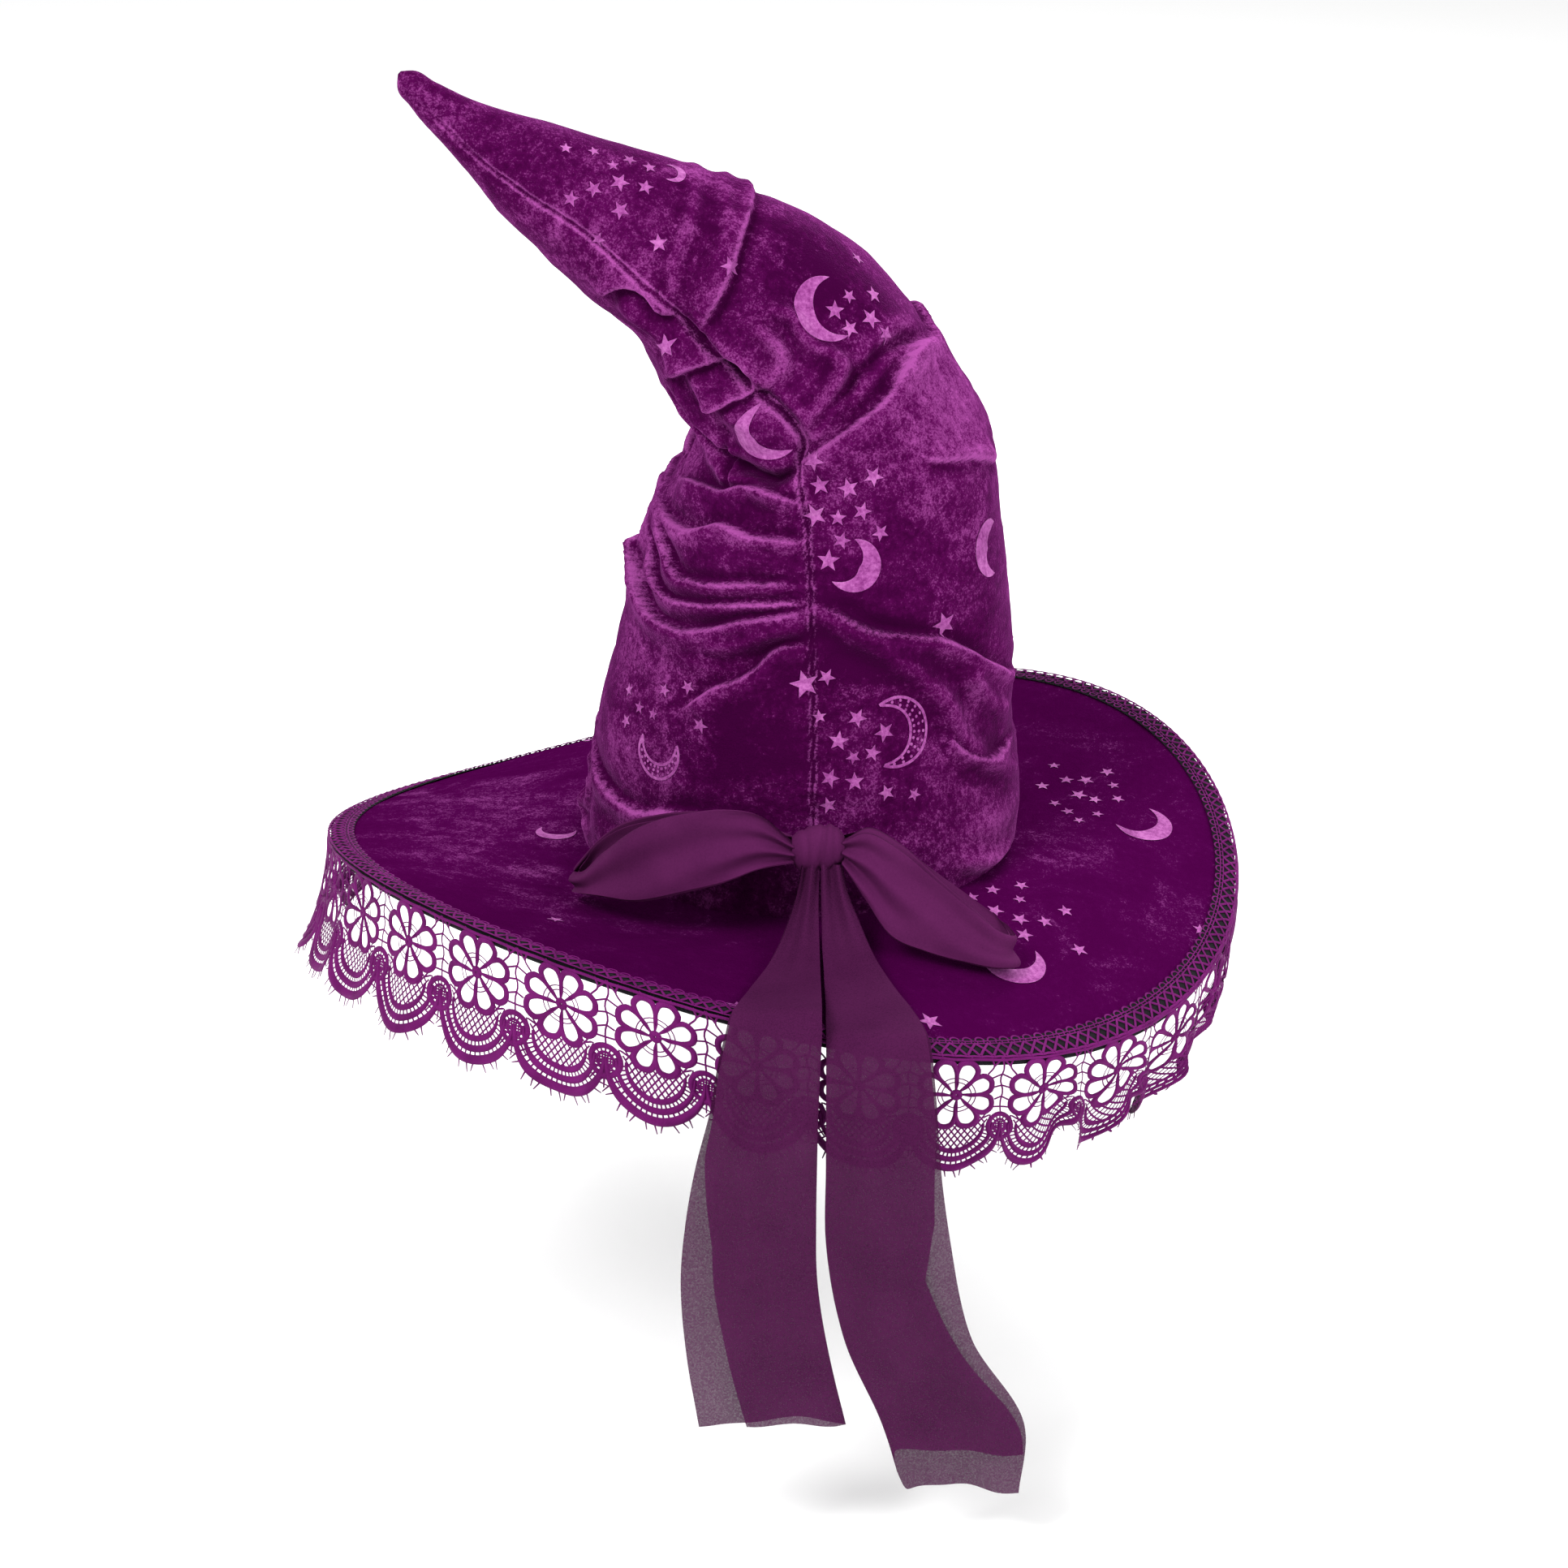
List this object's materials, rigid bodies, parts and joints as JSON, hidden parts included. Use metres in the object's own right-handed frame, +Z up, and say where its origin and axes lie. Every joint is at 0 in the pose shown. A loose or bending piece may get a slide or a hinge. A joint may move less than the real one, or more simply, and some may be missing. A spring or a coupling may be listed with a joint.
{
  "type": "witch hat",
  "caption": "Floppy velvet witch hat with a leaning ruched cone, waved wide brim, hanging lace edge and a sheer bow with long tails.",
  "frame": {"origin": "centre of the head opening, level with the top of the brim where the crown is sewn to it", "axes": "+Z up out of the crown, -Y towards the bow at the front, the tip leans towards -X"},
  "size_m": [0.4468, 0.4527, 0.5777],
  "materials": {
    "plum_velvet": "crushed velvet with flattened stars and moons",
    "black_cloth": "plain woven lining",
    "pale_foam": "soft padding",
    "purple_lace": "satin-stitched chemical lace",
    "sheer_plum": "sheer chiffon",
    "steel_wire": "plain spring wire"
  },
  "bodies": {
    "hat": {"crown_velvet_left": "plum_velvet", "crown_velvet_right": "plum_velvet", "crown_foam_left": "pale_foam", "crown_foam_right": "pale_foam", "crown_lining": "black_cloth", "crown_seam_tape": "black_cloth", "front_seam_elastic": "black_cloth", "sweatband": "black_cloth", "brim_top_velvet": "plum_velvet", "brim_stiffener": "pale_foam", "brim_under_cover": "black_cloth", "brim_edge_wire": "steel_wire", "brim_edge_binding": "black_cloth", "lace_heading_braid": "purple_lace", "lace_skirt": "purple_lace", "bow_knot": "sheer_plum", "tail_left_on_brim": "sheer_plum", "tail_right_on_brim": "sheer_plum"},
    "tip": {"tip_velvet_over": "plum_velvet", "tip_velvet_under": "plum_velvet", "tip_stuffing": "pale_foam"},
    "loop_left": {"bow_loop_left": "sheer_plum"},
    "loop_right": {"bow_loop_right": "sheer_plum"},
    "tail_left": {"tail_left_hanging": "sheer_plum"},
    "tail_right": {"tail_right_hanging": "sheer_plum"}
  },
  "joints": [
    {"name": "tip_bend", "type": "hinge", "parent": "hat", "child": "tip", "pos_m": [0.016, 0, 0.184], "axis": [0, 1, 0], "range_deg": [-20, 35], "stiffness_Nm_per_rad": 1.2},
    {"name": "loop_left_lift", "type": "hinge", "parent": "hat", "child": "loop_left", "pos_m": [-0.004, -0.115, 0.039], "axis": [0, 1, 0], "range_deg": [0, 35]},
    {"name": "loop_right_lift", "type": "hinge", "parent": "hat", "child": "loop_right", "pos_m": [0.0206, -0.115, 0.037], "axis": [0, -1, 0], "range_deg": [0, 35]},
    {"name": "tail_left_swing", "type": "hinge", "parent": "hat", "child": "tail_left", "pos_m": [-0.00985, -0.2175, 0.0117], "axis": [-1, 0, 0], "range_deg": [0, 70]},
    {"name": "tail_right_swing", "type": "hinge", "parent": "hat", "child": "tail_right", "pos_m": [0.0331, -0.2175, 0.0001], "axis": [-1, 0, 0], "range_deg": [0, 70]}
  ]
}
